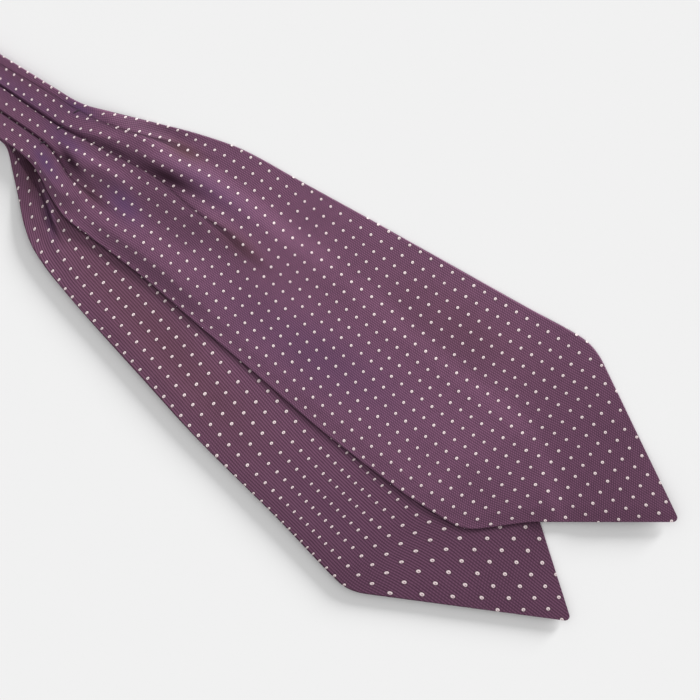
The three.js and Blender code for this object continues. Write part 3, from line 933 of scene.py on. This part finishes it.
def upper_lift(at, y, near, far):
    """How far the upper blade lies above its rest: waves, creases, its near edge and its point."""
    lift = wave_height(UPPER_WAVE, at, y) + wave_height(UPPER_RIPPLE, at, y)
    lift *= ramp(at, *UPPER_WAVES_RISE)
    creases = max(crease_height(UPPER_CREASES, at, y), DEEPEST_TROUGH)
    lift += creases * ramp(at, *CREASES_RISE)
    lift *= lerp(LEFT_AT_EDGE, 1.0, ramp(min(y - near, far - y), *EDGE_STRETCH))
    inwards = ease((y - near) / DROOP_WIDTH)
    droop_to = lerp(*DROOP_TO, ramp(at, *DROOP_CHANGE))
    droop = max(rest_height(at, y) - droop_to, 0.0) * (1 - inwards)
    lift -= droop * ramp(at, *DROOP_RISE)
    lift += BEDDING * lerp(1.0, inwards, ramp(at, *BEDDING_CHANGE))
    tip = TIP_LOFT * (1 - ease((y - near) / LOFT_WIDTH)) * ramp(at, *TIP_LOFT_RISE)
    return lift + max(near_loft(at, y), tip)


def under_lift(at, y, near, far):
    """How far the under blade lies above the surface, with waves and creases where it shows."""
    shown = 1 - ramp(y - near, *UNDER_SHOWN)
    lift = wave_height(UNDER_WAVE, at, y) * shown * ramp(at, *UNDER_WAVES_RISE)
    lift += crease_height(UNDER_CREASES, at, y) * shown * ramp(at, *CREASES_RISE)
    place = under_place(at, y, 0.0)
    return lift + near_loft(place.x, place.y)


def repeat_runs(table):
    """Repeats passed along the blade, and the turn of the rows summed up, every millimetre."""
    first, last = table[0].at - REPEAT_BEFORE, table[-1].at + REPEAT_BEYOND
    runs = {first: (0.0, 0.0)}
    run, turned = 0.0, 0.0
    for at in range(first, last):
        run += 1 / read_column(table, "along", at + 0.5)
        turned += read_column(table, "turn", at + 0.5)
        runs[at + 1] = (run, turned)
    return runs


def grid_row(at, half, runs):
    """The dots' repeat at one place along the blade, read once for the whole row."""
    table = half["repeat"]
    whole = math.floor(at)
    here, further = runs[whole], runs[whole + 1]
    return {
        "run": lerp(here[0], further[0], at - whole) + half["start"][0],
        "turned": lerp(here[1], further[1], at - whole),
        "along": read_column(table, "along", at),
        "across": read_column(table, "across", at),
        "lean": read_column(table, "lean", at),
        "start": half["start"][1],
    }


def dot_grid(row, across):
    """Place in the dots' own grid, one dot to a square."""
    along = row["run"] - row["lean"] * across / row["along"]
    aside = (across + row["turned"]) / row["across"] + row["start"]
    return along, aside


def silk_sheet(half, thickness):
    """One half of the cravat as a grid of cloth laid into its pleats, then given its wall."""
    rows = lay_cloth(half)
    across = len(rows[0])
    runs = repeat_runs(half["repeat"])
    bm = bmesh.new()
    bmesh.ops.create_grid(bm, x_segments=len(rows) - 1, y_segments=across - 1, size=1.0)
    grid_uv = bm.loops.layers.uv.new("dot_grid")
    measure_uv = bm.loops.layers.uv.new("measure")
    violet = bm.verts.layers.float.new("violet")
    brown = bm.verts.layers.float.new("brown")
    shade = bm.verts.layers.float.new("shade")
    measures = {}
    grid_rows = [grid_row(row[0].at, half, runs) for row in rows]
    for vert in bm.verts:
        i = round((vert.co.x + 1) / 2 * (len(rows) - 1))
        j = round((vert.co.y + 1) / 2 * (across - 1))
        spot = rows[i][j]
        at, y = spot.at, spot.y
        vert.co = (spot.place + CLOTH_TO_PART) * MM
        measures[vert] = (dot_grid(grid_rows[i], spot.across), (at * MM, spot.across * MM))
        vert[violet] = tint_amount(half["violet"], at, y)
        vert[brown] = tint_amount(half["brown"], at, y)
        # Painted shade: the blade's own shade, the hollows beside the pleats and the fold lines
        vert[shade] = max(half["shade"](at, y), tint_amount(half["hollow_shade"], at, y), spot.crease)
    for face in bm.faces:
        face.smooth = True
        for loop in face.loops:
            loop[grid_uv].uv, loop[measure_uv].uv = measures[loop.vert]
    bmesh.ops.recalc_face_normals(bm, faces=bm.faces)
    middle = bm.faces[len(bm.faces) // 2]
    if middle.normal.z < 0:
        bmesh.ops.reverse_faces(bm, faces=bm.faces)
    mesh = bpy.data.meshes.new(half["name"])
    bm.to_mesh(mesh)
    bm.free()
    piece = bpy.data.objects.new(half["name"], mesh)
    bpy.context.scene.collection.objects.link(piece)
    wall = piece.modifiers.new("two_plies", "SOLIDIFY")
    wall.thickness = thickness
    wall.offset = 0.0
    return piece


def upper_shade(at, y):
    """Painted shade: a little near the neckband, and darker towards the point, where the blade
    falls away from the light.
    """
    neck = NECK_SHADE * (1 - ramp(at, *NECK_SHADE_ENDS))
    point = POINT_SHADE * ramp(at, *POINT_SHADE_RISE)
    return neck + point + TIP_SHADE * ramp(at, *TIP_SHADE_RISE)


def under_shade(at, y):
    """Painted shade: darker towards the point and a little all over, and a painted shadow where it
    goes in under the upper blade's near edge.
    """
    place = under_place(at, y, 0.0)
    gap = blade_edges(UPPER_SIDES, UPPER_POINT, place.x)[0] - place.y
    contact = 0.0
    if place.x > CONTACT_FROM:
        contact = CONTACT_SHADE * math.exp(-(max(gap, 0.0) / CONTACT_LINE) ** 2)
    return max(UNDER_SHADE + UNDER_POINT_SHADE * ramp(at, *UNDER_SHADE_RISE), contact)


# The two halves of the cravat. "from" is where the band's straight stretch starts, "turned_over"
# says that the pleats face down, "side" which way it goes round the centre back, and "start" the
# dots' first place in their own grid. "picks" is how far the weft breaks the ribs up, and
# "contrast" how strongly they stand out.
UPPER_HALF = {
    "name": "upper_half",
    "material": "rep_silk_upper",
    "from": FOLD_X,
    "sides": UPPER_SIDES,
    "point": UPPER_POINT,
    "pleats": UPPER_PLEATS,
    "turned_over": False,
    "place": upper_place,
    "lift": upper_lift,
    "side": 1,
    "violet": UPPER_PAINTED_VIOLET_SHEEN,
    "brown": UPPER_PAINTED_BROWN_SHEEN,
    "hollow_shade": UPPER_PAINTED_HOLLOW_SHADE,
    "shade": upper_shade,
    "repeat": UPPER_REPEAT,
    "start": (0.3, 0.45),
    "picks": 0.75,
    "contrast": 1.2,
}
UNDER_HALF = {
    "name": "under_half",
    "material": "rep_silk_under",
    "from": FOLD_X - FAN_X + FAN_AT,
    "sides": UNDER_SIDES,
    "point": UNDER_POINT,
    "pleats": UNDER_PLEATS,
    "turned_over": True,
    "place": under_place,
    "lift": under_lift,
    "side": -1,
    "violet": UNDER_PAINTED_VIOLET_SHEEN,
    "brown": UNDER_PAINTED_BROWN_SHEEN,
    "hollow_shade": UNDER_PAINTED_HOLLOW_SHADE,
    "shade": under_shade,
    "repeat": UNDER_REPEAT,
    "start": (0.1, 0.95),
    "picks": 0.3,
    "contrast": 1.25,
}


class CravatSilk(bpy.types.PropertyGroup):
    """The silk's sizes and colours"""
    thickness: FloatProperty(
        name="Cloth thickness", description="Face and back together, sewn round the edge",
        default=0.8 * MM, min=0.2 * MM, max=2 * MM, unit="LENGTH", precision=4)
    rib_light: FloatVectorProperty(
        name="Ribs", description="Mauve warp on the top of each rib",
        default=linear("#885a78"), size=3, subtype="COLOR", min=0, max=1)
    rib_dark: FloatVectorProperty(
        name="Between the ribs", description="Plum weft in the grooves",
        default=linear("#4b2d42"), size=3, subtype="COLOR", min=0, max=1)
    dot_colour: FloatVectorProperty(
        name="Dots", description="Pale pink weft of the pin dots",
        default=linear("#eadadb"), size=3, subtype="COLOR", min=0, max=1)
    dot_share: FloatProperty(
        name="Dot size", description="Half a dot's width as a share of the dots' repeat",
        default=0.108, min=0.03, max=0.4, precision=3)


class CravatTacks(bpy.types.PropertyGroup):
    """The hand stitches that hold the pleats where the neckband ends"""
    thread_radius: FloatProperty(
        name="Thread radius", description="Half the thickness of the doubled silk thread",
        default=0.3 * MM, min=0.05 * MM, max=1 * MM, unit="LENGTH", precision=5)
    thread_colour: FloatVectorProperty(
        name="Thread", description="Twisted silk thread, dyed to the darkest of the cloth",
        default=linear("#2c1a2a"), size=3, subtype="COLOR", min=0, max=1)


class CravatStage(bpy.types.PropertyGroup):
    """The floor and the light"""
    floor_colour: FloatVectorProperty(
        name="Floor", description="Plain pale surface that the cravat lies on",
        default=linear("#e6e6e6"), size=3, subtype="COLOR", min=0, max=1)
    key_strength: FloatProperty(
        name="Key light", description="Strength of the soft light from beyond the far edge",
        default=5.1, min=0, max=20)
    key_height: FloatProperty(
        name="Key height", description="How high the key light stands over the surface",
        default=math.radians(14), min=0, max=math.pi / 2, subtype="ANGLE")
    fill_strength: FloatProperty(
        name="Fill light", description="Even light from all round",
        default=0.72, min=0, max=10)


class CRAVAT_OT_upper_half(bpy.types.Operator):
    """Lay the upper blade and its half of the neckband"""
    bl_idname = "cravat.upper_half"
    bl_label = "Upper half"

    def execute(self, context):
        silk = context.scene.cravat_silk
        piece = silk_sheet(UPPER_HALF, silk.thickness)
        piece.data.materials.append(woven_silk(UPPER_HALF, silk))
        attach(piece, "root")
        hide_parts("upper_blade", "upper_neckband")
        return {"FINISHED"}


def lay_tack(bm, tack, radius):
    """One stitch: a round of thread swept over a shallow arch whose ends go into the cloth."""
    middle = CLOTH_TO_PART + Vector((tack.x, tack.y, tack.z))
    along = Vector((math.cos(math.radians(tack.way)), math.sin(math.radians(tack.way)), 0.0))
    aside = Vector((-along.y, along.x, 0.0))
    half = tack.length / 2
    reach = (half * half + TACK_RISE * TACK_RISE) / (2 * TACK_RISE)
    sweep = 2 * math.asin(half / reach)
    centre = (middle - Vector((0, 0, reach - TACK_RISE))) * MM
    ring = bmesh.ops.create_circle(bm, cap_ends=True, radius=radius, segments=TACK_SIDES)["verts"]
    lean = sweep / 2
    out = Vector((0, 0, 1)) * math.cos(lean) - along * math.sin(lean)
    forward = along * math.cos(lean) + Vector((0, 0, 1)) * math.sin(lean)
    turn = Matrix((aside, out, forward)).transposed()
    for vert in ring:
        vert.co = centre + out * reach * MM + turn @ vert.co
    faces = list({face for vert in ring for face in vert.link_faces})
    edges = list({edge for vert in ring for edge in vert.link_edges})
    bmesh.ops.spin(bm, geom=[*ring, *edges, *faces], cent=centre, axis=aside, angle=sweep,
                   steps=TACK_STEPS, use_duplicate=False)


class CRAVAT_OT_pleat_tacks(bpy.types.Operator):
    """Sew the pleats down where the neckband ends"""
    bl_idname = "cravat.pleat_tacks"
    bl_label = "Pleat tacks"

    def execute(self, context):
        settings = context.scene.cravat_tacks
        bm = bmesh.new()
        for tack in PLEAT_TACKS:
            lay_tack(bm, tack, settings.thread_radius)
        bmesh.ops.remove_doubles(bm, verts=bm.verts, dist=0.001 * MM)
        bmesh.ops.recalc_face_normals(bm, faces=bm.faces)
        mesh = bpy.data.meshes.new("pleat_tacks")
        bm.to_mesh(mesh)
        bm.free()
        piece = bpy.data.objects.new("pleat_tacks", mesh)
        context.scene.collection.objects.link(piece)
        mesh.materials.append(twisted_thread(tuple(settings.thread_colour)))
        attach(piece, "root")
        return {"FINISHED"}


class CRAVAT_OT_under_half(bpy.types.Operator):
    """Lay the under blade and its half of the neckband"""
    bl_idname = "cravat.under_half"
    bl_label = "Under half"

    def execute(self, context):
        silk = context.scene.cravat_silk
        piece = silk_sheet(UNDER_HALF, silk.thickness)
        piece.data.materials.append(woven_silk(UNDER_HALF, silk))
        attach(piece, "root")
        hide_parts("under_blade", "lower_neckband")
        return {"FINISHED"}


# The camera looks straight down from 2.6 m, turned as the photo is, with a long lens that takes in
# 469 mm of the surface. Its middle is in millimetres and the rest in metres.
CAMERA_MIDDLE = (80.97, 21.57)
CAMERA_TURN = math.radians(33)
CAMERA_REACH = 2.6
CLOTH_HEIGHT = 3 * MM
FRAME_WIDTH = 0.469
SENSOR = 36.0
FARTHEST = 50

FLOOR_HALF = 3.0
FLOOR_SQUARES = 8
LIGHT_WAY = (0.21, 0.98)
LIGHT_WIDTH = math.radians(16)


class CRAVAT_OT_stage(bpy.types.Operator):
    """Set the floor, the lights and the camera"""
    bl_idname = "cravat.stage"
    bl_label = "Stage"

    def execute(self, context):
        scene = context.scene
        stage = scene.cravat_stage
        bm = bmesh.new()
        bmesh.ops.create_grid(
            bm, x_segments=FLOOR_SQUARES, y_segments=FLOOR_SQUARES, size=FLOOR_HALF)
        mesh = bpy.data.meshes.new("floor")
        bm.to_mesh(mesh)
        bm.free()
        floor = bpy.data.objects.new("floor", mesh)
        mesh.materials.append(matt_board(tuple(stage.floor_colour)))
        scene.collection.objects.link(floor)

        world = bpy.data.worlds.new("pale_room")
        world.use_nodes = True
        backdrop = world.node_tree.nodes["Background"]
        backdrop.inputs["Color"].default_value = (1.0, 1.0, 1.0, 1.0)
        backdrop.inputs["Strength"].default_value = stage.fill_strength
        scene.world = world

        key_data = bpy.data.lights.new("window", "SUN")
        key_data.energy = stage.key_strength
        key_data.angle = LIGHT_WIDTH
        key = bpy.data.objects.new("window", key_data)
        towards = Vector((LIGHT_WAY[0], LIGHT_WAY[1], 0)).normalized() * math.cos(stage.key_height)
        towards.z = math.sin(stage.key_height)
        key.rotation_euler = towards.to_track_quat("Z", "Y").to_euler()
        scene.collection.objects.link(key)

        camera_data = bpy.data.cameras.new("camera")
        camera_data.sensor_width = SENSOR
        camera_data.lens = SENSOR * CAMERA_REACH / FRAME_WIDTH
        camera_data.clip_end = FARTHEST
        camera = bpy.data.objects.new("camera", camera_data)
        camera.location = (CAMERA_MIDDLE[0] * MM, CAMERA_MIDDLE[1] * MM,
                           CAMERA_REACH + CLOTH_HEIGHT)
        camera.rotation_euler = (0, 0, CAMERA_TURN)
        scene.collection.objects.link(camera)
        scene.camera = camera
        scene.view_settings.view_transform = "Standard"
        return {"FINISHED"}


class CRAVAT_PT_build(bpy.types.Panel):
    """Lists the cravat's pieces and its stage"""
    bl_idname = "CRAVAT_PT_build"
    bl_label = "Silk cravat"
    bl_space_type = "VIEW_3D"
    bl_region_type = "UI"
    bl_category = "Cravat"

    def draw(self, context):
        column = self.layout.column(align=True)
        for operator in OPERATORS:
            column.operator(operator.bl_idname)
        scene = context.scene
        for group in (scene.cravat_silk, scene.cravat_tacks, scene.cravat_stage):
            box = self.layout.box()
            for name in group.__annotations__:
                box.prop(group, name)


OPERATORS = (
    CRAVAT_OT_under_half,
    CRAVAT_OT_upper_half,
    CRAVAT_OT_pleat_tacks,
    CRAVAT_OT_stage,
)
CLASSES = (CravatSilk, CravatTacks, CravatStage, *OPERATORS, CRAVAT_PT_build)


def register():
    for cls in CLASSES:
        bpy.utils.register_class(cls)
    bpy.types.Scene.cravat_silk = PointerProperty(type=CravatSilk)
    bpy.types.Scene.cravat_tacks = PointerProperty(type=CravatTacks)
    bpy.types.Scene.cravat_stage = PointerProperty(type=CravatStage)


def unregister():
    del bpy.types.Scene.cravat_stage
    del bpy.types.Scene.cravat_tacks
    del bpy.types.Scene.cravat_silk
    for cls in reversed(CLASSES):
        bpy.utils.unregister_class(cls)


def main():
    register()
    bpy.ops.cravat.stage()
    bpy.ops.cravat.under_half()
    bpy.ops.cravat.upper_half()
    bpy.ops.cravat.pleat_tacks()


if __name__ == "__main__":
    main()
